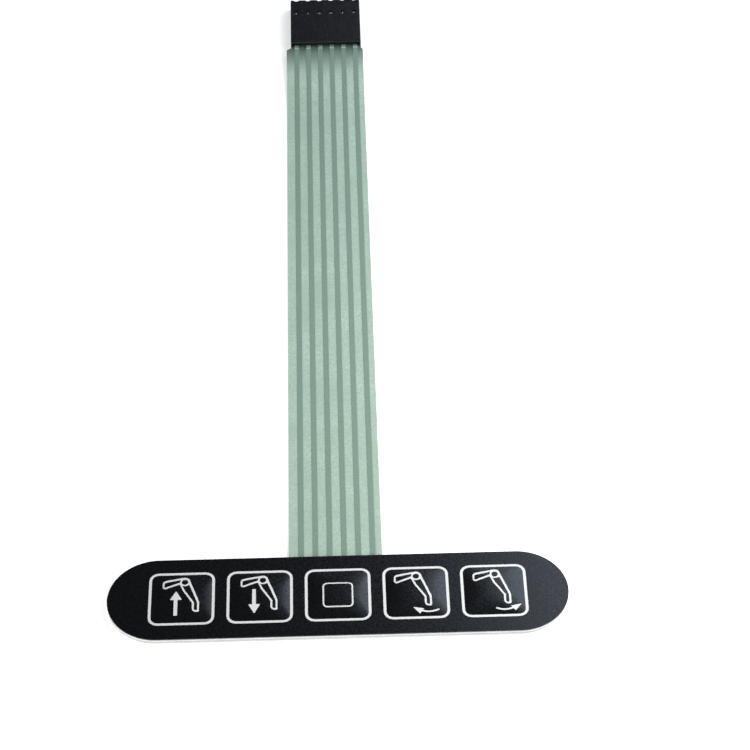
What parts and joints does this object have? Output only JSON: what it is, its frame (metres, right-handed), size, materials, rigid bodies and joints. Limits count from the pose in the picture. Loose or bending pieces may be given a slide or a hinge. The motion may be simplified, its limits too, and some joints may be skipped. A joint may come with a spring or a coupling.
{
  "type": "membrane keypad",
  "caption": "Stadium-shaped membrane keypad with a row of embossed keys, a flat film tail and a single-row crimp connector.",
  "frame": {"origin": "centre of the keypad outline on the back of the release liner, which rests on the table", "axes": "+X along the row of keys, to the right as they are read; +Y along the tail to the connector; +Z out of the keys"},
  "size_m": [0.0804, 0.1788, 0.0025],
  "materials": {
    "overlay_film": "fine-textured polyester with smooth key windows",
    "white_print": "screen-printed white ink",
    "adhesive": "clear acrylic adhesive film",
    "clear_film": "clear polyester film",
    "dome_steel": "bright stainless spring steel",
    "mint_film": "polyester film under pale green varnish",
    "silver_ink": "printed silver ink under pale green varnish",
    "liner_paper": "white coated release paper",
    "housing_plastic": "moulded black nylon, fine satin",
    "contact_metal": "tin-plated bronze"
  },
  "bodies": {
    "root": {"graphic_overlay": "overlay_film", "key_frame_1": "white_print", "key_frame_2": "white_print", "key_frame_3": "white_print", "key_frame_4": "white_print", "key_frame_5": "white_print", "overlay_adhesive": "adhesive", "dome_retainer": "clear_film", "retainer_adhesive": "adhesive", "snap_dome_1": "dome_steel", "snap_dome_2": "dome_steel", "snap_dome_3": "dome_steel", "snap_dome_4": "dome_steel", "snap_dome_5": "dome_steel", "circuit_film": "mint_film", "key_track_1": "silver_ink", "key_track_2": "silver_ink", "key_track_3": "silver_ink", "key_track_4": "silver_ink", "key_track_5": "silver_ink", "common_track": "silver_ink", "rear_adhesive": "adhesive", "release_liner": "liner_paper", "connector_housing": "housing_plastic", "crimp_contact_1": "contact_metal", "crimp_contact_2": "contact_metal", "crimp_contact_3": "contact_metal", "crimp_contact_4": "contact_metal", "crimp_contact_5": "contact_metal", "crimp_contact_6": "contact_metal"}
  },
  "joints": []
}
